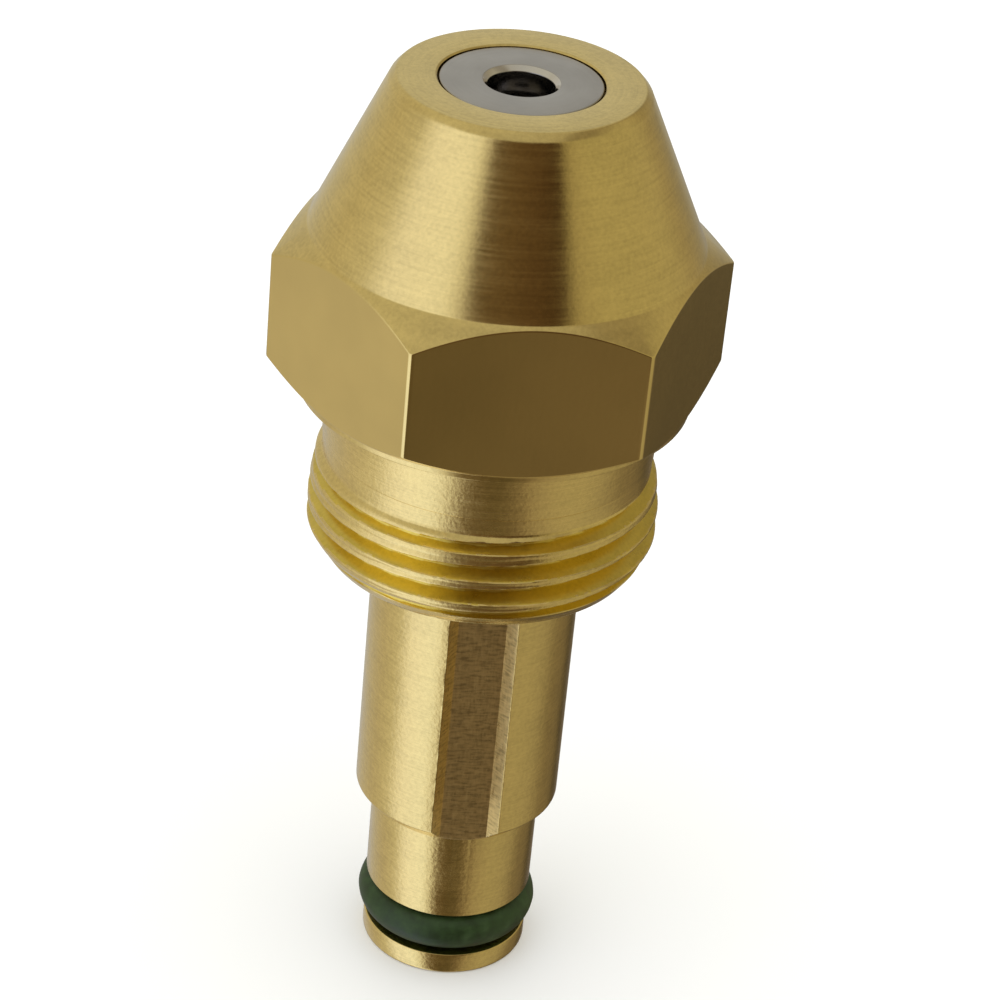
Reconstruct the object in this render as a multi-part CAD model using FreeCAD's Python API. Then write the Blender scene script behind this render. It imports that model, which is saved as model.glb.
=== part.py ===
import FreeCAD, Part
import math
import os

# Air-atomising (siphon) oil burner nozzle, millimetres.
# Z is the nozzle axis: z = 0 is the oil inlet end of the stem, +Z points out of the spray orifice.
# Two flats of the wrench hexagon face -Y and +Y.

V = FreeCAD.Vector
EPS = 0.5
OVERCUT = 0.06

# Nozzle body: wrench hexagon with its turned corners
HEX_ACROSS_FLATS = 15.875
HEX_CORNER_R = 9.13
HEX_TOP = 32.79
HEX_BOTTOM = 28.41
WASHER_R = 7.90
WASHER_TOP = 27.552
WASHER_BOTTOM = 27.30

# Nozzle body: conical nose
NOSE_TOP = 40.42
NOSE_FACE_R = 4.79
NOSE_RIM_R = 5.04
NOSE_RIM_Z = 40.15
CONE_BASE_R = 7.80
CONE_BASE_Z = 33.98

# Nozzle body: neck and 9/16-24 thread, right hand
NECK_R = 6.70
NECK_SPLIT_Z = 26.00
NECK_STEP_R = 6.66
NECK_STEP_Z = 24.85
NECK_END_Z = 24.31
THREAD_LEAD_R = 6.90
THREAD_LEAD_Z = 23.90
THREAD_R = 7.12
THREAD_FULL_Z = 22.39
THREAD_END_Z = 20.95
BODY_END_R = 6.40
BODY_END_Z = 19.90
THREAD_PITCH = 25.4 / 24.0
THREAD_ROOT_R = 6.60
THREAD_ROOT_FLAT = 0.12
THREAD_PHASE_Z = 22.942
THREAD_TURNS_UP = 0.74
THREAD_TURNS_DOWN = 4

# Nozzle body: inner bores, from the open end to the nose
MOUTH_R = 5.15
MOUTH_BEVEL = 0.35
MOUTH_TOP = 21.20
TAP_MINOR_R = 4.50
TAP_MAJOR_R = 5.09
TAP_TOP = 29.00
RELIEF_R = 5.25
RELIEF_TOP = 30.00
CHAMBER_R = 4.30
CHAMBER_TOP = 35.80
SEAT_BORE_R = 3.75
SEAT_BORE_TOP = 38.30
NOSE_BORE_R = 3.224
NOSE_BORE_BEVEL = 0.06

# Orifice insert, pressed into the nose from inside
INSERT_TOP = 40.36
INSERT_LIP_R = 3.15
INSERT_LIP_Z = 39.90
INSERT_BEVEL = 0.06
INSERT_BOTTOM = 37.00
ORIFICE_R = 1.30
COUNTERSINK_R = 1.504
COUNTERSINK_DEPTH = 0.20
THROAT_Z = 39.20
INSERT_CONE_R = 2.90

# Air swirler: cone with tangential slots, flange guided in the chamber
SEAT_GAP = 0.05
SWIRLER_TIP_R = 0.75
SWIRLER_TIP_Z = 39.12
SWIRLER_NOSE_Z = 38.85
SWIRLER_SHOULDER_Z = 36.55
SWIRLER_BODY_R = 3.30
SWIRLER_FLANGE_R = 4.23
SWIRLER_FLANGE_TOP = 34.30
SWIRLER_FLANGE_Z = 33.00
SWIRLER_SPIGOT_R = 1.90
SWIRLER_SPIGOT_Z = 32.10
SWIRLER_BORE_R = 0.90
SWIRLER_BORE_TOP = 37.60
OIL_JET_R = 0.30
SLOT_COUNT = 6
SLOT_WIDTH = 0.60
SLOT_DEPTH = 0.55
SLOT_OFFSET = 0.95
NOTCH_R = 0.85

# Oil stem
STEM_TOP = 32.96
STEM_END_R = 3.53
STEM_END_ROUND = 0.10
SEAL_GROOVE_BOTTOM = 0.99
SEAL_GROOVE_TOP = 3.09
SEAL_GROOVE_R = 2.05
SHANK_R = 3.55
LAND_R = 4.30
LAND_Z = 7.94
STEM_THREAD_R = 4.95
STEM_THREAD_ROOT_R = 4.38
STEM_THREAD_Z = 23.60
STEM_THREAD_TOP = 28.40
STEM_PITCH = 1.0
STEM_ROOT_FLAT = 0.14
STEM_CREST_FLAT = 0.20
PILOT_R = 3.20
PILOT_Z = 29.20
STEM_BORE_R = 1.25
STEM_BORE_MOUTH_R = 1.60
STEM_COUNTERBORE_R = 1.96
STEM_COUNTERBORE_Z = 31.95

# Air grooves milled along the stem
GROOVE_COUNT = 3
GROOVE_AZIMUTH = -91.8
GROOVE_FLOOR = 3.57
GROOVE_FLOOR_HALF = 0.98
GROOVE_FLARE = 0.85
GROOVE_BOTTOM = 6.60

# Seal ring, stretched over the groove floor
RING_SECTION_R = 0.89
RING_Z = 2.04


def revolve(points):
    """Solid of revolution about Z from (radius, height) points."""
    wire = Part.makePolygon([V(r, 0, z) for r, z in points + points[:1]])
    return Part.Face(wire).revolve(V(0, 0, 0), V(0, 0, 1), 360)


def helical_ridge(profile, pitch, start_z, turns):
    """Sweep a closed (radius, height) profile up a right-hand helix from azimuth 0."""
    radius = profile[0][0]
    helix = Part.makeHelix(pitch, pitch * turns, radius)
    helix.translate(V(0, 0, start_z))
    points = [V(r, 0, start_z + z) for r, z in profile]
    wire = Part.makePolygon(points + points[:1])
    return Part.Wire(helix.Edges).makePipeShell([wire], True, True)


def vee(root_r, open_r, root_flat):
    """60 degree thread groove, root first, opening at open_r."""
    half_root = root_flat / 2.0
    half_open = half_root + abs(open_r - root_r) * math.tan(math.radians(30))
    return [(root_r, half_root), (root_r, -half_root), (open_r, -half_open), (open_r, half_open)]


def hexagon(bottom, top):
    corner = HEX_ACROSS_FLATS / 2.0 / math.cos(math.radians(30))
    angles = [math.radians(60 * i) for i in range(7)]
    wire = Part.makePolygon([V(corner * math.cos(a), corner * math.sin(a), bottom) for a in angles])
    return Part.Face(wire).extrude(V(0, 0, top - bottom))


def body_head():
    """Conical nose and wrench hexagon, down to the middle of the neck."""
    corner = HEX_ACROSS_FLATS / 2.0 / math.cos(math.radians(30))
    trim = corner - HEX_CORNER_R
    top_slope = (CONE_BASE_Z - HEX_TOP) / (corner - CONE_BASE_R)
    low_slope = (HEX_BOTTOM - WASHER_TOP) / (corner - WASHER_R)
    shape = revolve([
        (0, NOSE_TOP), (NOSE_FACE_R, NOSE_TOP), (NOSE_RIM_R, NOSE_RIM_Z),
        (CONE_BASE_R, CONE_BASE_Z), (HEX_CORNER_R, HEX_TOP + trim * top_slope),
        (HEX_CORNER_R, HEX_BOTTOM - trim * low_slope), (WASHER_R, WASHER_TOP),
        (WASHER_R, WASHER_BOTTOM), (NECK_R, WASHER_BOTTOM), (NECK_R, NECK_SPLIT_Z), (0, NECK_SPLIT_Z),
    ])
    return shape.common(hexagon(NECK_SPLIT_Z - EPS, NOSE_TOP + EPS))


def body_shank():
    """Lower half of the neck and the threaded end, tapered where the thread runs out."""
    full_z = NECK_END_Z - (THREAD_R - NECK_R)
    shape = revolve([
        (0, NECK_SPLIT_Z), (NECK_R, NECK_SPLIT_Z), (NECK_R, NECK_END_Z), (THREAD_R, full_z),
        (THREAD_R, THREAD_END_Z), (BODY_END_R, BODY_END_Z), (0, BODY_END_Z),
    ])
    taper = (THREAD_R - THREAD_LEAD_R) / (THREAD_LEAD_Z - THREAD_FULL_Z)
    top = NECK_END_Z + 0.3
    run_out = revolve([
        (THREAD_R, THREAD_FULL_Z), (THREAD_R - taper * (top - THREAD_FULL_Z), top),
        (THREAD_R + EPS, top), (THREAD_R + EPS, THREAD_FULL_Z),
    ])
    step = revolve([
        (NECK_STEP_R, NECK_STEP_Z), (NECK_STEP_R, NECK_END_Z), (NECK_R + 0.4, NECK_END_Z + 0.4),
        (NECK_R + 0.4, NECK_STEP_Z + 0.4),
    ])
    return shape.cut(outer_thread_groove()).cut(run_out).cut(step)


def body_inside():
    return revolve([
        (0, BODY_END_Z - EPS), (MOUTH_R + MOUTH_BEVEL + EPS, BODY_END_Z - EPS),
        (MOUTH_R, BODY_END_Z + MOUTH_BEVEL), (MOUTH_R, MOUTH_TOP),
        (TAP_MINOR_R, MOUTH_TOP + MOUTH_R - TAP_MINOR_R), (TAP_MINOR_R, TAP_TOP),
        (RELIEF_R, TAP_TOP), (RELIEF_R, RELIEF_TOP), (CHAMBER_R, RELIEF_TOP + RELIEF_R - CHAMBER_R),
        (CHAMBER_R, CHAMBER_TOP), (SEAT_BORE_R, CHAMBER_TOP + CHAMBER_R - SEAT_BORE_R),
        (SEAT_BORE_R, SEAT_BORE_TOP), (NOSE_BORE_R, SEAT_BORE_TOP),
        (NOSE_BORE_R, NOSE_TOP - NOSE_BORE_BEVEL),
        (NOSE_BORE_R + NOSE_BORE_BEVEL + EPS, NOSE_TOP + EPS), (0, NOSE_TOP + EPS),
    ])


def outer_thread_groove():
    profile = vee(THREAD_ROOT_R, THREAD_R + OVERCUT, THREAD_ROOT_FLAT)
    start = THREAD_PHASE_Z - THREAD_TURNS_DOWN * THREAD_PITCH
    return helical_ridge(profile, THREAD_PITCH, start, THREAD_TURNS_DOWN + THREAD_TURNS_UP)


def tapped_groove():
    profile = vee(TAP_MAJOR_R, TAP_MINOR_R - OVERCUT, STEM_CREST_FLAT)
    start = STEM_THREAD_Z - 3.0 * STEM_PITCH
    turns = (TAP_TOP + 0.6 - start) / STEM_PITCH
    return helical_ridge(profile, STEM_PITCH, start, turns)


def nozzle_body():
    body = body_head().fuse(body_shank()).removeSplitter()
    return body.cut(body_inside()).cut(tapped_groove())


def orifice_insert():
    cone_z = THROAT_Z - (INSERT_CONE_R - ORIFICE_R)
    return revolve([
        (COUNTERSINK_R, INSERT_TOP), (INSERT_LIP_R - INSERT_BEVEL, INSERT_TOP),
        (INSERT_LIP_R, INSERT_TOP - INSERT_BEVEL), (INSERT_LIP_R, INSERT_LIP_Z),
        (NOSE_BORE_R, INSERT_LIP_Z - 0.08), (NOSE_BORE_R, SEAT_BORE_TOP),
        (SEAT_BORE_R, SEAT_BORE_TOP), (SEAT_BORE_R, INSERT_BOTTOM + 0.2),
        (SEAT_BORE_R - 0.2, INSERT_BOTTOM), (INSERT_CONE_R, INSERT_BOTTOM),
        (INSERT_CONE_R, cone_z), (ORIFICE_R, THROAT_Z),
        (ORIFICE_R, INSERT_TOP - COUNTERSINK_DEPTH),
    ])


def swirl_slot(index):
    """Tangential air slot that follows the 45 degree cone down to the shoulder."""
    length = 8.0
    slot = Part.makeBox(length, SLOT_WIDTH, 3.0, V(-1.0, SLOT_OFFSET - SLOT_WIDTH / 2.0, 0))
    slot.rotate(V(0, 0, 0), V(0, 1, 0), 45)
    slot.translate(V(0, 0, swirler_cone_apex() - SLOT_DEPTH * math.sqrt(2)))
    slot.rotate(V(0, 0, 0), V(0, 0, 1), 360.0 * index / SLOT_COUNT)
    return slot


def swirler_cone_apex():
    """Height where the swirler's 45 degree cone would meet the axis."""
    return THROAT_Z + ORIFICE_R - SEAT_GAP * math.sqrt(2)


def air_swirler():
    apex = swirler_cone_apex()
    nose_r = apex - SWIRLER_NOSE_Z
    cone_r = INSERT_CONE_R - 0.12
    shape = revolve([
        (0, SWIRLER_TIP_Z), (SWIRLER_TIP_R, SWIRLER_TIP_Z), (SWIRLER_TIP_R, SWIRLER_NOSE_Z),
        (nose_r, SWIRLER_NOSE_Z), (cone_r, apex - cone_r), (cone_r, SWIRLER_SHOULDER_Z),
        (SWIRLER_BODY_R - 0.2, SWIRLER_SHOULDER_Z), (SWIRLER_BODY_R, SWIRLER_SHOULDER_Z - 0.2),
        (SWIRLER_BODY_R, SWIRLER_FLANGE_TOP), (SWIRLER_FLANGE_R, SWIRLER_FLANGE_TOP),
        (SWIRLER_FLANGE_R, SWIRLER_FLANGE_Z), (SWIRLER_SPIGOT_R, SWIRLER_FLANGE_Z),
        (SWIRLER_SPIGOT_R, SWIRLER_SPIGOT_Z), (0, SWIRLER_SPIGOT_Z),
    ])
    bores = revolve([
        (0, SWIRLER_SPIGOT_Z - EPS), (SWIRLER_BORE_R, SWIRLER_SPIGOT_Z - EPS),
        (SWIRLER_BORE_R, SWIRLER_BORE_TOP), (OIL_JET_R, SWIRLER_BORE_TOP + SWIRLER_BORE_R - OIL_JET_R),
        (OIL_JET_R, SWIRLER_TIP_Z + EPS), (0, SWIRLER_TIP_Z + EPS),
    ])
    tools = [bores]
    for index in range(SLOT_COUNT):
        tools.append(swirl_slot(index))
        notch = Part.makeCylinder(NOTCH_R, SWIRLER_FLANGE_TOP - SWIRLER_FLANGE_Z + 2 * EPS,
                                  V(SWIRLER_FLANGE_R + 0.1, 0, SWIRLER_FLANGE_Z - EPS))
        notch.rotate(V(0, 0, 0), V(0, 0, 1), 360.0 * (index + 0.5) / SLOT_COUNT)
        tools.append(notch)
    return shape.cut(tools)


def stem_blank():
    """The stem's turned outline, left plain at the land's radius where the thread goes."""
    cone_z = LAND_Z - (LAND_R - SHANK_R)
    steps = [(STEM_END_R - STEM_END_ROUND * (1 - math.sin(a)), STEM_END_ROUND * (1 - math.cos(a)))
             for a in [math.radians(15 * i) for i in range(7)]]
    return revolve([(0, 0)] + steps + [
        (STEM_END_R, SEAL_GROOVE_BOTTOM), (SEAL_GROOVE_R, SEAL_GROOVE_BOTTOM),
        (SEAL_GROOVE_R, SEAL_GROOVE_TOP), (SHANK_R, SEAL_GROOVE_TOP), (SHANK_R, cone_z),
        (LAND_R, LAND_Z), (LAND_R, STEM_THREAD_TOP), (PILOT_R, PILOT_Z),
        (PILOT_R, STEM_TOP - 0.25), (PILOT_R - 0.25, STEM_TOP), (0, STEM_TOP),
    ])


def stem_bores():
    return revolve([
        (0, -EPS), (STEM_BORE_MOUTH_R + EPS, -EPS), (STEM_BORE_R, STEM_BORE_MOUTH_R - STEM_BORE_R),
        (STEM_BORE_R, STEM_COUNTERBORE_Z), (STEM_COUNTERBORE_R, STEM_COUNTERBORE_Z),
        (STEM_COUNTERBORE_R, STEM_TOP + EPS), (0, STEM_TOP + EPS),
    ])


def stem_thread_groove():
    profile = vee(STEM_THREAD_ROOT_R, STEM_THREAD_R + OVERCUT, STEM_ROOT_FLAT)
    start = STEM_THREAD_Z - 1.5 * STEM_PITCH
    turns = (STEM_THREAD_TOP + 1.0 - start) / STEM_PITCH
    return helical_ridge(profile, STEM_PITCH, start, turns)


def stem_thread():
    """Threaded sleeve round the stem, bevelled at both ends."""
    bevel = STEM_THREAD_R - LAND_R
    bottom = STEM_THREAD_Z - bevel
    reach = STEM_THREAD_R + EPS
    rod = Part.makeCylinder(STEM_THREAD_R, STEM_THREAD_TOP - bottom, V(0, 0, bottom))
    rod = rod.cut(stem_thread_groove())
    lower = revolve([(LAND_R, bottom), (STEM_THREAD_R, STEM_THREAD_Z), (reach, STEM_THREAD_Z),
                     (reach, bottom)])
    upper = revolve([(STEM_THREAD_R, STEM_THREAD_TOP - bevel), (reach, STEM_THREAD_TOP - bevel),
                     (reach, STEM_THREAD_TOP), (LAND_R, STEM_THREAD_TOP)])
    return rod.cut(lower).cut(upper)


def air_groove(index):
    """Flared slot milled along the land, through the thread and the lower shoulder."""
    reach = STEM_THREAD_R + 1.0
    half_top = GROOVE_FLOOR_HALF + (reach - GROOVE_FLOOR) * GROOVE_FLARE
    outline = [V(GROOVE_FLOOR, -GROOVE_FLOOR_HALF, GROOVE_BOTTOM), V(reach, -half_top, GROOVE_BOTTOM),
               V(reach, half_top, GROOVE_BOTTOM), V(GROOVE_FLOOR, GROOVE_FLOOR_HALF, GROOVE_BOTTOM)]
    face = Part.Face(Part.makePolygon(outline + outline[:1]))
    slot = face.extrude(V(0, 0, STEM_THREAD_TOP + 1.0 - GROOVE_BOTTOM))
    slot.rotate(V(0, 0, 0), V(0, 0, 1), GROOVE_AZIMUTH + 360.0 * index / GROOVE_COUNT)
    return slot


def oil_stem():
    stem = stem_blank().fuse(stem_thread()).cut(stem_bores())
    return stem.cut([air_groove(index) for index in range(GROOVE_COUNT)])


def o_ring():
    return Part.makeTorus(SEAL_GROOVE_R + RING_SECTION_R, RING_SECTION_R, V(0, 0, RING_Z))


def main():
    os.makedirs("parts", exist_ok=True)
    nodes = {
        "nozzle_body": nozzle_body,
        "orifice_insert": orifice_insert,
        "air_swirler": air_swirler,
        "oil_stem": oil_stem,
        "o_ring": o_ring,
    }
    for name, build in nodes.items():
        shape = build()
        print(name, shape.ShapeType, len(shape.Solids), shape.isValid(), round(shape.Volume, 3))
        shape.exportStep("parts/" + name + ".step")


main()
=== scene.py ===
"""Oil burner nozzle: the detailed surfaces, their materials, the studio and the camera.

Outlines are in millimetres, in the part's own frame, and become metres when a mesh is made.
"""
import bpy
import math
import numpy as np
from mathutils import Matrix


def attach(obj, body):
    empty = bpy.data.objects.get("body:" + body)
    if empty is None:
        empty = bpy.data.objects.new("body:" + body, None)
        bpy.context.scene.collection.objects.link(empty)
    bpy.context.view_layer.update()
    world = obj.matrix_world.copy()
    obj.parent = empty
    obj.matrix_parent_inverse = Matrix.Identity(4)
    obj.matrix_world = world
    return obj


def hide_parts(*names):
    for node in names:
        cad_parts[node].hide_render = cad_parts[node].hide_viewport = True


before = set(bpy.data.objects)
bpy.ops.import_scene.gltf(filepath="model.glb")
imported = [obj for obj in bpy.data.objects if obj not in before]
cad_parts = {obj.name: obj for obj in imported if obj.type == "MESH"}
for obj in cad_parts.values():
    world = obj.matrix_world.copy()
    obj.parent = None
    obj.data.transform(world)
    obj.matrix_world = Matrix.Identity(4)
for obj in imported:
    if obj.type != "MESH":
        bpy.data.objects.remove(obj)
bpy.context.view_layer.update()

MM = 0.001
TAN_30 = math.tan(math.radians(30))

# Nozzle body
ACROSS_FLATS = 15.875
CORNER_R = 9.13
HEX_TOP, HEX_BOTTOM = 32.79, 28.41
WASHER_R, WASHER_TOP, WASHER_BOTTOM = 7.90, 27.552, 27.30
NOSE_TOP, NOSE_FACE_R = 40.42, 4.79
NOSE_RIM_R, NOSE_RIM_Z = 5.04, 40.15
CONE_BASE_R, CONE_BASE_Z = 7.80, 33.98
NECK_R, NECK_STEP_R, NECK_STEP_Z, NECK_END_Z = 6.70, 6.66, 24.85, 24.14
THREAD_R, THREAD_ROOT_R, THREAD_PITCH = 7.12, 6.60, 25.4 / 24
THREAD_LEAD_R, THREAD_LEAD_Z, THREAD_FULL_Z = 6.90, 23.90, 22.39
THREAD_END_Z, BODY_END_R, BODY_END_Z = 20.95, 6.40, 19.90
THREAD_PHASE_Z, THREAD_TURNS_UP, THREAD_FADE_TURNS = 22.942, 1.10, 0.10
THREAD_DEEP_AZIMUTH, THREAD_DEEPER, THREAD_DEEP_SPREAD = 330.0, 0.26, 58.0
THREAD_ROOT_FLAT, THREAD_ROOT_ROUND, SEAM_DEPTH, SEAM_WIDTH = 0.06, 0.03, 0.035, 0.07
MOUTH_R, MOUTH_TOP, MOUTH_BEVEL = 5.15, 21.20, 0.35
TAP_MINOR_R, TAP_MAJOR_R, TAP_TOP = 4.50, 5.09, 29.00
RELIEF_R, RELIEF_TOP = 5.25, 30.00
CHAMBER_R, CHAMBER_TOP = 4.30, 35.80
SEAT_BORE_R, SEAT_BORE_TOP, NOSE_BORE_R = 3.75, 38.30, 3.224

# Orifice insert
INSERT_TOP, INSERT_BOTTOM, INSERT_LIP_R, INSERT_LIP_Z = 40.36, 37.00, 3.15, 39.90
ORIFICE_R, COUNTERSINK_R, COUNTERSINK_DEPTH = 1.30, 1.504, 0.20
THROAT_Z, INSERT_CONE_R = 39.20, 2.90

# Oil stem
STEM_TOP, STEM_END_R = 32.96, 3.53
SEAL_GROOVE_BOTTOM, SEAL_GROOVE_TOP, SEAL_GROOVE_R = 0.99, 3.09, 2.05
SHANK_R, LAND_R, LAND_Z = 3.55, 4.30, 7.94
STEM_THREAD_R, STEM_ROOT_R, STEM_PITCH = 4.95, 4.38, 1.0
STEM_THREAD_Z, STEM_THREAD_TOP = 23.60, 28.40
PILOT_R, PILOT_Z = 3.20, 29.20
STEM_BORE_R, STEM_BORE_MOUTH_R = 1.25, 1.60
COUNTERBORE_R, COUNTERBORE_Z = 1.96, 31.95
GROOVE_COUNT, GROOVE_AZIMUTH = 3, -91.8
GROOVE_FLOOR, GROOVE_FLOOR_HALF, GROOVE_FLARE, GROOVE_BOTTOM = 3.57, 0.98, 0.85, 6.60
BURR_HEIGHT, BURR_WIDTH, BURR_SEED = 0.008, 0.5, 7

# Seal ring
RING_R, RING_SECTION_R, RING_Z = 2.94, 0.89, 2.04
FLASH_HEIGHT, FLASH_WIDTH, RING_WAVE = 0.012, 0.06, 0.004


# ---- Turned surfaces: rows of (radius, height) over a set of azimuths ----

def soft_min(a, b, blend):
    mix = np.clip(0.5 + 0.5 * (b - a) / blend, 0, 1)
    return b + (a - b) * mix - blend * mix * (1 - mix)


def soft_max(a, b, blend):
    return -soft_min(-a, -b, blend)


def columns(count, *extra):
    """Azimuths in degrees for a mesh's columns: an even spread plus the given ones."""
    return np.unique(np.round(np.concatenate([np.arange(count) * 360.0 / count, *extra]) % 360, 4))


def row(azimuths, radius, height):
    return np.stack([radius + 0 * azimuths, height + 0 * azimuths])


def corner_arc(before, here, after, fillet, steps=4):
    """A corner rounded by a short curve that starts and ends a fillet's length away."""
    ends = []
    for other in (before, after):
        reach = np.hypot(*(other - here))
        ends.append(here + (other - here) * np.minimum(fillet / np.maximum(reach, 1e-9), 0.45))
    return [(1 - t) ** 2 * ends[0] + 2 * t * (1 - t) * here + t * t * ends[1]
            for t in np.linspace(0, 1, steps)]


def outline(azimuths, corners):
    """Rows through (radius, height, fillet) corners, with the fillets rounded."""
    points = [row(azimuths, r, z) for r, z, _ in corners]
    rows = [points[0]]
    for i in range(1, len(points) - 1):
        fillet = corners[i][2]
        rows += corner_arc(points[i - 1], points[i], points[i + 1], fillet) if fillet else [points[i]]
    return rows + [points[-1]]


def subdivide(rows, step):
    """Adds rows so that no two neighbours are further apart than step."""
    out = [rows[0]]
    for a, b in zip(rows, rows[1:]):
        parts = max(1, math.ceil(np.hypot(*(b - a)).max() / step - 1e-6))
        out += [a + (b - a) * (k + 1) / parts for k in range(parts)]
    return out


def helix_offset(azimuths, z, start, pitch):
    """Height above the nearest groove of a right-hand helix, and that groove's turn number."""
    turns = (z - start) / pitch - azimuths / 360
    nearest = np.round(turns)
    return (turns - nearest) * pitch, nearest + azimuths / 360


def turned_mesh(name, azimuths, rows, body, node, materials, zone=None):
    """Closes the rows into a ring-shaped mesh that stands for a CAD node."""
    grid = np.stack(rows)
    angle = np.radians(azimuths)
    x, y = grid[:, 0] * np.cos(angle), grid[:, 0] * np.sin(angle)
    points = np.stack([x, y, grid[:, 1]], axis=2) * MM
    n_rows, n_columns = grid.shape[0], len(azimuths)
    i, j = np.meshgrid(np.arange(n_rows), np.arange(n_columns), indexing="ij")
    below, beside = (i + 1) % n_rows, (j + 1) % n_columns
    quads = np.stack([i * n_columns + j, below * n_columns + j,
                      below * n_columns + beside, i * n_columns + beside], axis=2).reshape(-1, 4)
    mesh = bpy.data.meshes.new(name)
    mesh.from_pydata(points.reshape(-1, 3).tolist(), [], quads.tolist())
    mesh.validate()
    mesh.polygons.foreach_set("use_smooth", [True] * len(mesh.polygons))
    for material in materials:
        mesh.materials.append(material)
    if zone:
        centre = (grid + np.roll(grid, -1, axis=0)) / 2
        mesh.polygons.foreach_set("material_index", zone(azimuths, centre).reshape(-1).astype(int))
    mesh.set_sharp_from_angle(angle=math.radians(35))
    piece = bpy.data.objects.new(name, mesh)
    bpy.context.collection.objects.link(piece)
    weighted = piece.modifiers.new("even_normals", "WEIGHTED_NORMAL")
    weighted.keep_sharp = True
    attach(piece, body)
    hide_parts(node)
    return piece


# ---- Nozzle body ----

def flat_radius(azimuths):
    """Radius of the hexagon's wall, with its corners turned down to CORNER_R."""
    from_flat = np.radians(azimuths % 60 - 30)
    return np.minimum(ACROSS_FLATS / 2 / np.cos(from_flat), CORNER_R)


def body_head_rows(azimuths):
    corner = ACROSS_FLATS / 2 / math.cos(math.radians(30))
    top_slope = (CONE_BASE_Z - HEX_TOP) / (corner - CONE_BASE_R)
    low_slope = (HEX_BOTTOM - WASHER_TOP) / (corner - WASHER_R)
    flat = flat_radius(azimuths)
    return outline(azimuths, [
        (NOSE_BORE_R, NOSE_TOP - 0.06, 0), (NOSE_BORE_R + 0.06, NOSE_TOP, 0.03),
        (NOSE_FACE_R, NOSE_TOP, 0.06), (NOSE_RIM_R, NOSE_RIM_Z, 0.10),
        (CONE_BASE_R, CONE_BASE_Z, 0.06),
        (flat, HEX_TOP + (corner - flat) * top_slope, 0.05),
        (flat, HEX_BOTTOM - (corner - flat) * low_slope, 0.05),
        (WASHER_R, WASHER_TOP, 0.02), (WASHER_R, WASHER_BOTTOM, 0.05), (NECK_R, WASHER_BOTTOM, 0.06),
        (NECK_R, NECK_STEP_Z + 0.04, 0.02), (NECK_STEP_R, NECK_STEP_Z, 0),
    ])


def thread_blank(z):
    """Radius of the threaded end before its groove is cut: neck step, lead-in taper and end bevel."""
    taper = (THREAD_R - THREAD_LEAD_R) / (THREAD_LEAD_Z - THREAD_FULL_Z)
    bevel = (THREAD_R - BODY_END_R) / (THREAD_END_Z - BODY_END_Z)
    blank = soft_min(THREAD_R, THREAD_R - taper * (z - THREAD_FULL_Z), 0.04)
    blank = soft_min(blank, NECK_STEP_R + NECK_END_Z - z, 0.08)
    blank = soft_min(blank, BODY_END_R + bevel * (z - BODY_END_Z), 0.06)
    return np.where(z > NECK_END_Z - 0.3, soft_max(blank, NECK_STEP_R, 0.05), blank)


def outer_thread_rows(azimuths):
    """Neck end, thread and end bevel: the groove is deeper on one side, the crests seamed on the other."""
    start = THREAD_PHASE_Z - 4 * THREAD_PITCH
    from_deep = (azimuths - THREAD_DEEP_AZIMUTH + 180) % 360 - 180
    deeper = np.exp(-(from_deep / THREAD_DEEP_SPREAD) ** 2)
    rows = []
    for z in np.arange(NECK_STEP_Z - 0.05, BODY_END_Z + 0.05, -0.035):
        offset, turn = helix_offset(azimuths, z, start, THREAD_PITCH)
        fade = np.clip((turn - 4 - THREAD_TURNS_UP) / THREAD_FADE_TURNS + 1, 0, 4)
        root = THREAD_ROOT_R + 0.04 - THREAD_DEEPER * deeper + 0.3 * fade ** 1.5
        along = np.radians(azimuths) * THREAD_R + turn * 7.0
        ragged = 0.016 * np.sin(along * 7.1) * np.sin(along * 2.9) + 0.008 * np.sin(along * 13.3)
        flank = np.maximum(np.sqrt(offset ** 2 + THREAD_ROOT_ROUND ** 2) - THREAD_ROOT_FLAT, 0) / TAN_30
        vee = root + flank + ragged * np.minimum(flank / 0.5, 1) ** 4
        from_seam = THREAD_PITCH / 2 - np.abs(offset) + 0.02 * np.sin(along * 2.3)
        seam = SEAM_DEPTH * (1 - deeper) * np.exp(-(from_seam / SEAM_WIDTH) ** 2) * (z < THREAD_LEAD_Z)
        rows.append(row(azimuths, soft_min(thread_blank(z) - seam, vee, 0.035), z))
    return rows


def inner_thread_rows(azimuths):
    rows = []
    for z in np.arange(MOUTH_TOP + 0.05, TAP_TOP, 0.13):
        blank = TAP_MINOR_R + max(0, MOUTH_TOP + MOUTH_R - TAP_MINOR_R - z)
        offset, _ = helix_offset(azimuths, z, STEM_THREAD_Z, STEM_PITCH)
        vee = TAP_MAJOR_R - np.maximum(np.abs(offset) - 0.10, 0) / TAN_30
        rows.append(row(azimuths, soft_max(blank, vee, 0.03), z))
    return rows


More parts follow.
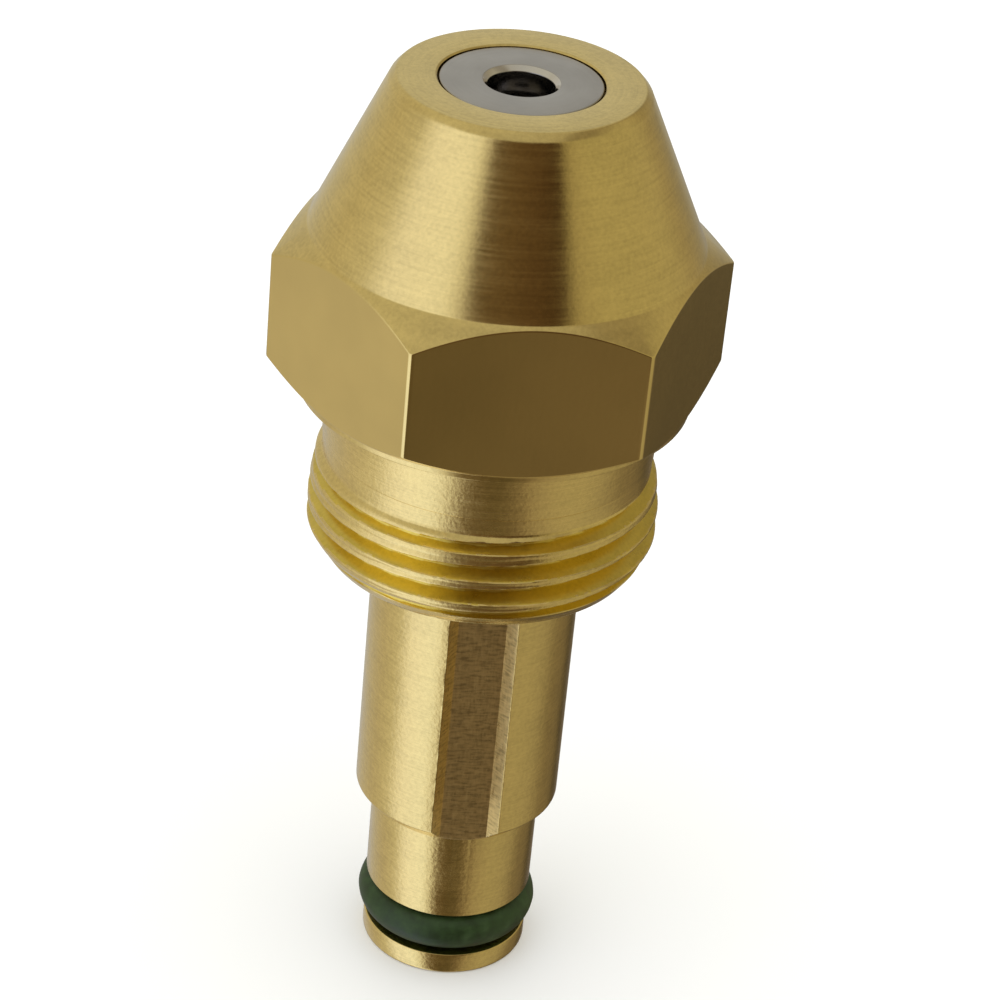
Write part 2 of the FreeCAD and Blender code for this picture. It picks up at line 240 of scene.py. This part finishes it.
def nozzle_body_piece(materials):
    half_corner = math.degrees(math.acos(ACROSS_FLATS / 2 / CORNER_R))
    corners = [np.arange(6) * 60 + side * (30 - half_corner) + d
               for side in (-1, 1) for d in (-0.25, 0, 0.25)]
    azimuths = columns(330, *corners)
    head = body_head_rows(azimuths)
    thread = outer_thread_rows(azimuths)
    mouth = outline(azimuths, [
        (BODY_END_R, BODY_END_Z + 0.02, 0), (BODY_END_R - 0.03, BODY_END_Z, 0.02),
        (MOUTH_R + MOUTH_BEVEL, BODY_END_Z, 0.05), (MOUTH_R, BODY_END_Z + MOUTH_BEVEL, 0.05),
        (MOUTH_R, MOUTH_TOP, 0)])
    tapped = inner_thread_rows(azimuths)
    bores = outline(azimuths, [
        (RELIEF_R, TAP_TOP, 0), (RELIEF_R, RELIEF_TOP, 0),
        (CHAMBER_R, RELIEF_TOP + RELIEF_R - CHAMBER_R, 0), (CHAMBER_R, CHAMBER_TOP, 0),
        (SEAT_BORE_R, CHAMBER_TOP + CHAMBER_R - SEAT_BORE_R, 0),
        (SEAT_BORE_R, SEAT_BORE_TOP, 0), (NOSE_BORE_R, SEAT_BORE_TOP, 0)])
    wall = flat_radius(azimuths)

    def zone(_, centre):
        radius, height = centre[:, 0], centre[:, 1]
        index = np.zeros(radius.shape, int)
        # Index 2 (crests and neck) takes brass with a painted highlight, index 3 (mouth, tapped thread and
        # bores) brass with painted shade, and index 4 (the thread's grooves) brass with a painted reflection.
        on_thread = slice(len(head), len(head) + len(thread))
        index[on_thread] = np.where(radius < thread_blank(height) - 0.05, 4, 2)[on_thread]
        index[len(head) + len(thread):] = 3
        index[:len(head)][height[:len(head)] < WASHER_BOTTOM - 0.1] = 2
        index[(np.abs(radius - wall) < 0.02) & (height < CONE_BASE_Z) & (height > WASHER_TOP)] = 1
        index[-1] = 0
        return index

    return turned_mesh("nozzle_body_turned", azimuths, head + thread + mouth + tapped + bores,
                       "nozzle", "nozzle_body", materials, zone)


# ---- Orifice insert ----

def orifice_insert_piece(materials):
    azimuths = columns(240)
    cone_z = THROAT_Z - (INSERT_CONE_R - ORIFICE_R)
    rows = outline(azimuths, [
        (ORIFICE_R, THROAT_Z, 0), (ORIFICE_R, INSERT_TOP - COUNTERSINK_DEPTH, 0.02),
        (COUNTERSINK_R, INSERT_TOP, 0.02), (INSERT_LIP_R, INSERT_TOP, 0.07),
        (INSERT_LIP_R, INSERT_LIP_Z, 0), (NOSE_BORE_R, INSERT_LIP_Z - 0.08, 0),
        (NOSE_BORE_R, SEAT_BORE_TOP, 0), (SEAT_BORE_R, SEAT_BORE_TOP, 0),
        (SEAT_BORE_R, INSERT_BOTTOM + 0.2, 0.02), (SEAT_BORE_R - 0.2, INSERT_BOTTOM, 0.02),
        (INSERT_CONE_R, INSERT_BOTTOM, 0.02), (INSERT_CONE_R, cone_z, 0)])

    def zone(_, centre):
        radius, height = centre[:, 0], centre[:, 1]
        reamed = (radius < ORIFICE_R + 0.02) | (height < INSERT_LIP_Z)
        countersunk = ~reamed & (radius < COUNTERSINK_R - 0.02)
        # Index 1, the bore, takes the darker steel with painted shade; index 2, the countersink, takes the
        # brighter steel with a painted highlight.
        return np.where(reamed, 1, np.where(countersunk, 2, 0))

    return turned_mesh("orifice_insert_faced", azimuths, rows, "nozzle", "orifice_insert",
                       materials, zone)


# ---- Oil stem ----

def groove_angles():
    """Half angles, seen from the axis, of the groove's floor and of its mouth at the land."""
    depth = np.linspace(0, 1.5, 3001)
    half = GROOVE_FLOOR_HALF + depth * GROOVE_FLARE
    at_land = np.argmin(np.abs(np.hypot(GROOVE_FLOOR + depth, half) - LAND_R))
    floor_angle = math.atan2(GROOVE_FLOOR_HALF, GROOVE_FLOOR)
    mouth_angle = math.atan2(half[at_land], GROOVE_FLOOR + depth[at_land])
    return math.degrees(floor_angle), math.degrees(mouth_angle)


def from_groove(azimuths):
    """Degrees from the middle of the nearest groove."""
    spacing = 360 / GROOVE_COUNT
    return (azimuths - GROOVE_AZIMUTH + spacing / 2) % spacing - spacing / 2


def groove_radius(azimuths):
    """Radius at which a ray from the axis meets the groove's floor or flared walls."""
    angle = np.radians(np.abs(from_groove(azimuths)))
    floor = GROOVE_FLOOR / np.cos(angle)
    across = np.sin(angle) - GROOVE_FLARE * np.cos(angle)
    inner = GROOVE_FLOOR_HALF - GROOVE_FLARE * GROOVE_FLOOR
    wall = np.where(across < -1e-3, inner / np.minimum(across, -1e-3), 99.0)
    return np.where(np.degrees(angle) < groove_angles()[0], floor, wall)


def stem_blank_rows(azimuths):
    cone_z = LAND_Z - (LAND_R - SHANK_R)
    lower = outline(azimuths, [
        (STEM_BORE_R, STEM_BORE_MOUTH_R - STEM_BORE_R, 0), (STEM_BORE_MOUTH_R, 0, 0.05),
        (STEM_END_R, 0, 0.14), (STEM_END_R, SEAL_GROOVE_BOTTOM, 0.06),
        (SEAL_GROOVE_R, SEAL_GROOVE_BOTTOM, 0.08), (SEAL_GROOVE_R, SEAL_GROOVE_TOP, 0.08),
        (SHANK_R, SEAL_GROOVE_TOP, 0.06), (SHANK_R, cone_z, 0)])
    shoulder = subdivide(outline(azimuths, [(SHANK_R, cone_z, 0), (LAND_R, LAND_Z, 0.06),
                                            (LAND_R, LAND_Z + 0.3, 0)]), 0.08)
    land = subdivide([row(azimuths, LAND_R, LAND_Z + 0.3), row(azimuths, LAND_R, 22.9)], 0.13)
    upper = outline(azimuths, [
        (PILOT_R, PILOT_Z, 0), (PILOT_R, STEM_TOP - 0.25, 0), (PILOT_R - 0.25, STEM_TOP, 0),
        (COUNTERBORE_R, STEM_TOP, 0), (COUNTERBORE_R, COUNTERBORE_Z, 0), (STEM_BORE_R, COUNTERBORE_Z, 0)])
    return lower[:-1] + shoulder + land[1:] + stem_thread_rows(azimuths) + upper


def stem_thread_rows(azimuths):
    bevel = STEM_THREAD_R - LAND_R
    rows = []
    for z in np.arange(STEM_THREAD_Z - bevel, STEM_THREAD_TOP, 0.08):
        blank = min(STEM_THREAD_R, LAND_R + z - STEM_THREAD_Z + bevel, LAND_R + STEM_THREAD_TOP - z)
        offset, _ = helix_offset(azimuths, z, STEM_THREAD_Z - 1.5 * STEM_PITCH, STEM_PITCH)
        vee = STEM_ROOT_R + np.maximum(np.abs(offset) - 0.07, 0) / TAN_30
        rows.append(row(azimuths, soft_min(blank, vee, 0.03), z))
    return rows


def oil_stem_piece(materials):
    floor_edge, mouth_edge = groove_angles()
    spacing = 360 / GROOVE_COUNT
    edges = [(floor_edge, (-0.3, 0, 0.3)), (mouth_edge, (-1.2, -0.6, -0.2, 0, 0.2, 0.6, 1.2))]
    lines = [GROOVE_AZIMUTH + spacing * k + side * (edge + d) for k in range(GROOVE_COUNT)
             for side in (-1, 1) for edge, spread in edges for d in spread]
    azimuths = columns(288, lines)
    chance = np.random.default_rng(BURR_SEED)
    cut = groove_radius(azimuths)
    near_edge = np.exp(-((np.abs(from_groove(azimuths)) - mouth_edge) / BURR_WIDTH) ** 2)
    edge_number = np.floor((azimuths - GROOVE_AZIMUTH) % 360 / (spacing / 2)).astype(int)
    rows = []
    for r, z in stem_blank_rows(azimuths):
        if GROOVE_BOTTOM < z[0] < STEM_THREAD_TOP + 1:
            r = soft_min(r, cut, 0.02)
        if LAND_Z < z[0] < STEM_THREAD_Z - 1:
            r = r + BURR_HEIGHT * chance.normal(0.1, 0.8, 2 * GROOVE_COUNT)[edge_number] * near_edge
        rows.append(np.stack([r, z]))

    def zone(_, centre):
        radius, height = centre[:, 0], centre[:, 1]
        in_groove = (np.abs(from_groove(azimuths + 0.3)) < mouth_edge) & (radius < LAND_R - 0.03)
        in_groove &= (height > GROOVE_BOTTOM + 0.5) & (height < STEM_THREAD_TOP)
        on_floor = in_groove & (np.abs(from_groove(azimuths + 0.3)) < floor_edge)
        return np.where(on_floor, 1, np.where(in_groove, 2, 0))

    return turned_mesh("oil_stem_milled", azimuths, rows, "stem", "oil_stem",
                       materials, zone)


# ---- Seal ring ----

def seal_ring_piece(materials):
    """A moulded ring: round section, with a faint flash line round its equator."""
    azimuths = columns(240)
    rows = []
    for t in np.radians(np.arange(0, 360, 6)):
        flash = FLASH_HEIGHT * math.exp(-(math.sin(t) / FLASH_WIDTH) ** 2) if math.cos(t) > 0 else 0
        wave = RING_WAVE * np.sin(np.radians(azimuths * 5)) * math.cos(t)
        section = RING_SECTION_R - FLASH_HEIGHT + flash
        rows.append(row(azimuths, RING_R + section * math.cos(t) + wave, RING_Z + section * math.sin(t)))
    return turned_mesh("seal_ring", azimuths, rows, "stem", "o_ring", materials)


# ---- Materials ----

class Nodes:
    """A node material under construction, with short calls for the nodes used here."""

    def __init__(self, name, metallic, roughness, **sockets):
        self.material = bpy.data.materials.new(name)
        self.material.use_nodes = True
        self.tree = self.material.node_tree
        self.shader = self.tree.nodes["Principled BSDF"]
        self.shader.inputs["Metallic"].default_value = metallic
        self.shader.inputs["Roughness"].default_value = roughness
        for socket, value in sockets.items():
            self.shader.inputs[socket.replace("_", " ")].default_value = value
        self.position = self.node("ShaderNodeTexCoord").outputs["Object"]

    def node(self, kind, **settings):
        made = self.tree.nodes.new(kind)
        for key, value in settings.items():
            setattr(made, key, value)
        return made

    def put(self, value, socket):
        if isinstance(value, bpy.types.NodeSocket):
            self.tree.links.new(value, socket)
        else:
            socket.default_value = value

    def math(self, operation, *values):
        made = self.node("ShaderNodeMath", operation=operation)
        for value, socket in zip(values, made.inputs):
            self.put(value, socket)
        return made.outputs[0]

    def streaks(self, arc, width_mm, detail=2.0):
        """Noise drawn out round the axis into lathe marks: arc in radians by width in millimetres."""
        split = self.node("ShaderNodeSeparateXYZ")
        self.put(self.position, split.inputs[0])
        x, y, z = split.outputs
        radius = self.math("SQRT", self.math("ADD", self.math("MULTIPLY", x, x), self.math("MULTIPLY", y, y)))
        radius = self.math("MAXIMUM", radius, 0.1 * MM)
        place = self.node("ShaderNodeCombineXYZ")
        for part, socket in zip((x, y), place.inputs):
            self.put(self.math("MULTIPLY", self.math("DIVIDE", part, radius), 1 / arc), socket)
        along = self.math("MULTIPLY_ADD", radius, 0.73, z)
        self.put(self.math("MULTIPLY", along, 1 / (width_mm * MM)), place.inputs[2])
        made = self.node("ShaderNodeTexNoise")
        self.put(place.outputs[0], made.inputs["Vector"])
        self.put(1.0, made.inputs["Scale"])
        self.put(detail, made.inputs["Detail"])
        return made.outputs[0]

    def blend(self, *parts):
        """Weighted sum of noises from (noise, weight) pairs."""
        total = 0.0
        for value, weight in parts:
            total = self.math("MULTIPLY_ADD", value, weight, total)
        return total

    def noise(self, size_mm, detail=3.0, stretch=(1, 1, 1)):
        place = self.node("ShaderNodeMapping")
        self.put(self.position, place.inputs["Vector"])
        place.inputs["Scale"].default_value = [s / (size_mm * MM) for s in stretch]
        made = self.node("ShaderNodeTexNoise")
        self.put(place.outputs[0], made.inputs["Vector"])
        self.put(1.0, made.inputs["Scale"])
        self.put(detail, made.inputs["Detail"])
        return made.outputs[0]

    def ramp(self, value, *stops):
        made = self.node("ShaderNodeValToRGB")
        self.put(value, made.inputs[0])
        elements = made.color_ramp.elements
        while len(elements) < len(stops):
            elements.new(0.5)
        for element, (place, colour) in zip(elements, stops):
            element.position = place
            element.color = (*colour, 1)
        return made.outputs[0]

    def spread(self, value, low, high):
        """Maps the middle of a noise, 0.3 to 0.7, to low to high."""
        made = self.node("ShaderNodeMapRange")
        for socket, number in zip(made.inputs, (value, 0.3, 0.7, low, high)):
            self.put(number, socket)
        return made.outputs[0]

    def bump(self, *layers):
        """Stacks (height, depth in millimetres) layers into one normal."""
        normal = None
        for height, depth in layers:
            made = self.node("ShaderNodeBump")
            made.inputs["Strength"].default_value = 1.0
            made.inputs["Distance"].default_value = depth * MM
            self.put(height, made.inputs["Height"])
            if normal:
                self.put(normal, made.inputs["Normal"])
            normal = made.outputs[0]
        self.put(normal, self.shader.inputs["Normal"])


def tint(colour, factor):
    return tuple(min(1.0, c * factor) for c in colour)


BRASS = (0.80, 0.62, 0.25)
STEEL = (0.50, 0.48, 0.465)


def turned_brass(name, colour, roughness, streak_depth, grain_depth, grain_mm=0.16):
    """Lathe-turned brass: short fine marks round the axis over a grain of small pits and handling marks."""
    m = Nodes(name, 1.0, roughness, Anisotropic=0.3)
    tangent = m.node("ShaderNodeTangent", direction_type="RADIAL", axis="Z")
    m.put(tangent.outputs[0], m.shader.inputs["Tangent"])
    fine = m.streaks(0.40, 0.07)
    broad = m.streaks(0.8, 0.22, 1.0)
    grain = m.noise(grain_mm, 3.0)
    blotches = m.noise(1.3, 4.0)
    mixed = m.blend((blotches, 0.25), (grain, 0.40), (fine, 0.35))
    m.put(m.ramp(mixed, (0.38, tint(colour, 0.88)), (0.50, colour), (0.62, tint(colour, 1.10))),
          m.shader.inputs["Base Color"])
    uneven = m.spread(m.blend((blotches, 0.5), (fine, 0.5)), -0.05, 0.06)
    m.put(m.math("ADD", uneven, roughness), m.shader.inputs["Roughness"])
    m.bump((fine, streak_depth), (broad, streak_depth), (grain, grain_depth))
    return m.material


def drawn_brass(name, colour):
    """The hexagon's flats as drawn: even satin with specks and faint lengthwise lines."""
    m = Nodes(name, 1.0, 0.16)
    specks = m.noise(0.22, 2.0)
    lengthwise = m.noise(0.25, 3.0, (1, 1, 0.06))
    clouds = m.noise(4.5, 3.0)
    m.put(m.ramp(clouds, (0.35, tint(colour, 0.95)), (0.65, tint(colour, 1.04))),
          m.shader.inputs["Base Color"])
    m.put(m.math("ADD", m.spread(specks, -0.02, 0.03), 0.16), m.shader.inputs["Roughness"])
    m.bump((specks, 0.0012), (lengthwise, 0.0008))
    return m.material


def milled_brass(name, colour, roughness, depth):
    """The grooves' milled faces: fine chatter across the stem, with some torn lines along it."""
    m = Nodes(name, 1.0, roughness)
    chatter = m.noise(0.16, 3.0, (0.35, 0.35, 1.5))
    torn = m.noise(0.12, 3.0, (1.2, 1.2, 0.35))
    mixed = m.blend((chatter, 0.72), (torn, 0.28))
    m.put(m.ramp(mixed, (0.36, tint(colour, 0.66)), (0.50, tint(colour, 0.96)), (0.64, tint(colour, 1.12))),
          m.shader.inputs["Base Color"])
    m.put(m.math("ADD", m.spread(torn, -0.05, 0.06), roughness), m.shader.inputs["Roughness"])
    m.bump((chatter, depth), (torn, depth * 0.6))
    return m.material


def faced_steel(name, colour, roughness):
    m = Nodes(name, 1.0, roughness, Anisotropic=0.2)
    fine = m.streaks(0.5, 0.05)
    clouds = m.noise(1.6, 3.0)
    m.put(m.ramp(clouds, (0.35, tint(colour, 0.94)), (0.65, tint(colour, 1.04))),
          m.shader.inputs["Base Color"])
    m.put(m.math("ADD", m.spread(fine, -0.03, 0.04), roughness), m.shader.inputs["Roughness"])
    m.bump((fine, 0.0008), (m.noise(0.12, 2.0), 0.0010))
    return m.material


def seal_rubber(name):
    m = Nodes(name, 0.0, 0.5, Specular_IOR_Level=0.45)
    dust = m.noise(0.5, 5.0)
    fine = m.noise(0.07, 2.0)
    m.put(m.ramp(dust, (0.35, (0.012, 0.029, 0.006)), (0.55, (0.018, 0.043, 0.009)),
                 (0.75, (0.032, 0.063, 0.018))),
          m.shader.inputs["Base Color"])
    m.put(m.math("ADD", m.spread(dust, -0.06, 0.10), 0.48), m.shader.inputs["Roughness"])
    m.bump((fine, 0.003), (dust, 0.004))
    return m.material


# ---- Studio ----

FLOOR_HALF = 3.0


def floor():
    mesh = bpy.data.meshes.new("floor")
    corners = [(-FLOOR_HALF, -FLOOR_HALF, 0), (FLOOR_HALF, -FLOOR_HALF, 0),
               (FLOOR_HALF, FLOOR_HALF, 0), (-FLOOR_HALF, FLOOR_HALF, 0)]
    mesh.from_pydata(corners, [], [(0, 1, 2, 3)])
    made = bpy.data.objects.new("floor", mesh)
    bpy.context.collection.objects.link(made)
    paint = Nodes("pale_floor", 0.0, 0.85)
    paint.put(paint.ramp(paint.noise(60.0, 2.0), (0.3, (0.88, 0.90, 0.93)), (0.7, (0.91, 0.93, 0.96))),
              paint.shader.inputs["Base Color"])
    mesh.materials.append(paint.material)
    made.visible_glossy = False


# Stops are (degrees round the object, colour), with 0 at the front once turned by STUDIO_TURN.
STUDIO_TURN = 9.9
HIGH_RING = [
    (-180, (0.58, 0.58, 0.54)), (-110, (0.54, 0.50, 0.38)), (-84, (0.62, 0.60, 0.52)),
    (-66, (0.95, 0.98, 1.10)), (-34, (0.98, 1.02, 1.12)), (-25, (0.80, 0.80, 0.78)),
    (-17, (0.14, 0.10, 0.06)), (0, (0.13, 0.085, 0.045)), (20, (0.10, 0.06, 0.03)),
    (37, (0.06, 0.035, 0.018)), (44, (0.42, 0.37, 0.23)), (60, (0.46, 0.42, 0.26)),
    (112, (0.44, 0.40, 0.26)), (130, (0.36, 0.31, 0.20)), (150, (0.30, 0.27, 0.20)),
    (180, (0.58, 0.58, 0.54)),
]
LOW_RING = [
    (-180, (0.55, 0.56, 0.60)), (-110, (0.54, 0.50, 0.42)), (-84, (0.64, 0.62, 0.54)),
    (-66, (1.05, 1.10, 1.30)), (-34, (1.10, 1.20, 1.45)), (-25, (0.80, 0.80, 0.80)),
    (-16, (0.18, 0.13, 0.08)), (0, (0.12, 0.09, 0.05)), (16, (0.12, 0.095, 0.055)),
    (28, (0.22, 0.17, 0.12)), (38, (0.38, 0.33, 0.24)), (64, (0.44, 0.40, 0.28)),
    (92, (0.38, 0.34, 0.24)), (112, (0.22, 0.18, 0.12)), (132, (0.20, 0.16, 0.10)),
    (146, (0.07, 0.055, 0.03)), (166, (0.20, 0.17, 0.14)), (180, (0.55, 0.56, 0.60)),
]
# Stops run from left to right over the object.
CEILING = [(0.0, (0.62, 0.59, 0.46)), (0.5, (0.50, 0.48, 0.40)), (0.72, (0.46, 0.43, 0.34)),
           (0.80, (0.30, 0.26, 0.18))]


def studio_light():
    """Two rings of light panels and dark gaps round the object, low and high, under a soft ceiling."""
    world = bpy.data.worlds.new("studio")
    bpy.context.scene.world = world
    world.use_nodes = True
    nodes, links = world.node_tree.nodes, world.node_tree.links

    def add(kind, settings, **wires):
        made = nodes.new(kind)
        for key, value in settings.items():
            setattr(made, key, value)
        for socket, source in wires.items():
            links.new(source, made.inputs[int(socket[1:])])
        return made

    def panels(place, stops):
        ring = add("ShaderNodeValToRGB", {}, _0=place)
        elements = ring.color_ramp.elements
        while len(elements) < len(stops):
            elements.new(0.5)
        for element, (position, colour) in zip(elements, stops):
            element.position = position
            element.color = (*colour, 1)
        return ring.outputs[0]

    def scaled(value, factor, offset):
        made = add("ShaderNodeMath", {"operation": "MULTIPLY_ADD"}, _0=value)
        made.inputs[1].default_value, made.inputs[2].default_value = factor, offset
        return made.outputs[0]

    def over(height, low, high, below, above):
        rise = add("ShaderNodeMapRange", {"interpolation_type": "SMOOTHSTEP"}, _0=height)
        rise.inputs[1].default_value, rise.inputs[2].default_value = low, high
        return add("ShaderNodeMixRGB", {}, _0=rise.outputs[0], _1=below, _2=above).outputs[0]

    direction = nodes.new("ShaderNodeTexCoord").outputs["Generated"]
    turned = add("ShaderNodeVectorRotate", {"rotation_type": "Z_AXIS"}, _0=direction)
    turned.inputs["Angle"].default_value = math.radians(STUDIO_TURN)
    split = add("ShaderNodeSeparateXYZ", {}, _0=turned.outputs[0])
    right, back, height = split.outputs
    azimuth = add("ShaderNodeMath", {"operation": "ARCTAN2"}, _0=right, _1=scaled(back, -1, 0))
    angle = scaled(azimuth.outputs[0], 0.5 / math.pi, 0.5)
    low, high = [panels(angle, [((degrees + 180) / 360, colour) for degrees, colour in ring])
                 for ring in (LOW_RING, HIGH_RING)]
    rings = over(height, -0.48, -0.25, low, high)
    ceiling = panels(scaled(right, 0.5, 0.5), CEILING)
    links.new(over(height, 0.52, 0.74, rings, ceiling), nodes["Background"].inputs["Color"])


def floor_light():
    """A wide soft lamp straight above that whitens the floor and leaves a faint shadow."""
    light = bpy.data.lights.new("floor_light", "SUN")
    light.energy = 2.6
    light.angle = math.radians(110)
    made = bpy.data.objects.new("floor_light", light)
    made.visible_glossy = False
    bpy.context.collection.objects.link(made)


def camera():
    data = bpy.data.cameras.new("camera")
    data.lens, data.sensor_width = 119.64, 36
    data.clip_start, data.clip_end = 0.01, 20
    made = bpy.data.objects.new("camera", data)
    bpy.context.collection.objects.link(made)
    made.location = (-0.01994, -0.11439, 0.09127)
    made.rotation_euler = [math.radians(a) for a in (59.008, -4.769, -7.380)]
    bpy.context.scene.camera = made


def main():
    turned = turned_brass("body_turned_brass", BRASS, 0.18, 0.0014, 0.0020)
    # The crest brass is the body's brass made 5% lighter: a painted highlight on the thread's crests and on
    # the neck below the washer face. Its deeper grain and rougher finish are real.
    crests = turned_brass("thread_crest_brass_painted_highlight", tint(BRASS, 1.05), 0.24, 0.0011, 0.0090, 0.15)
    # The bored brass is the body's brass made 15% darker: painted shade inside the mouth, the tapped thread
    # and the bores.
    bored = turned_brass("bored_brass_painted_shade", tint(BRASS, 0.85), 0.36, 0.002, 0.002)
    # The grooves' deeper yellow is partly the colour of freshly cut brass and partly a painted reflection,
    # standing in for light bounced between the thread's flanks.
    threaded = turned_brass("thread_groove_brass_painted_reflection", (0.80, 0.61, 0.13), 0.30, 0.0010, 0.0030)
    nozzle_body_piece([turned, drawn_brass("hexagon_drawn_brass", BRASS), crests, bored, threaded])
    orifice_insert_piece([faced_steel("insert_faced_steel", STEEL, 0.34),
                          # The reamed bore is the insert's steel made 20% darker: painted shade down the
                          # orifice.
                          faced_steel("insert_reamed_steel_painted_shade", tint(STEEL, 0.8), 0.18),
                          # The countersink's polish is real through its low roughness; its colour, half again
                          # as bright as the insert's steel, is a painted highlight.
                          faced_steel("insert_countersunk_steel_painted_highlight", tint(STEEL, 1.5), 0.12)])
    oil_stem_piece([turned_brass("stem_turned_brass", BRASS, 0.20, 0.0008, 0.0100, 0.17),
                    milled_brass("groove_floor_brass", (0.74, 0.56, 0.27), 0.40, 0.008),
                    milled_brass("groove_wall_brass", (0.74, 0.57, 0.25), 0.32, 0.002)])
    seal_ring_piece([seal_rubber("seal_ring_rubber")])
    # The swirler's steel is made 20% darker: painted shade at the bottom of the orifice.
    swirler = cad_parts["air_swirler"]
    swirler.data.materials.clear()
    swirler.data.materials.append(faced_steel("swirler_steel", tint(STEEL, 0.8), 0.28))
    floor()
    studio_light()
    floor_light()
    camera()
    bpy.context.scene.view_settings.view_transform = "Standard"


main()
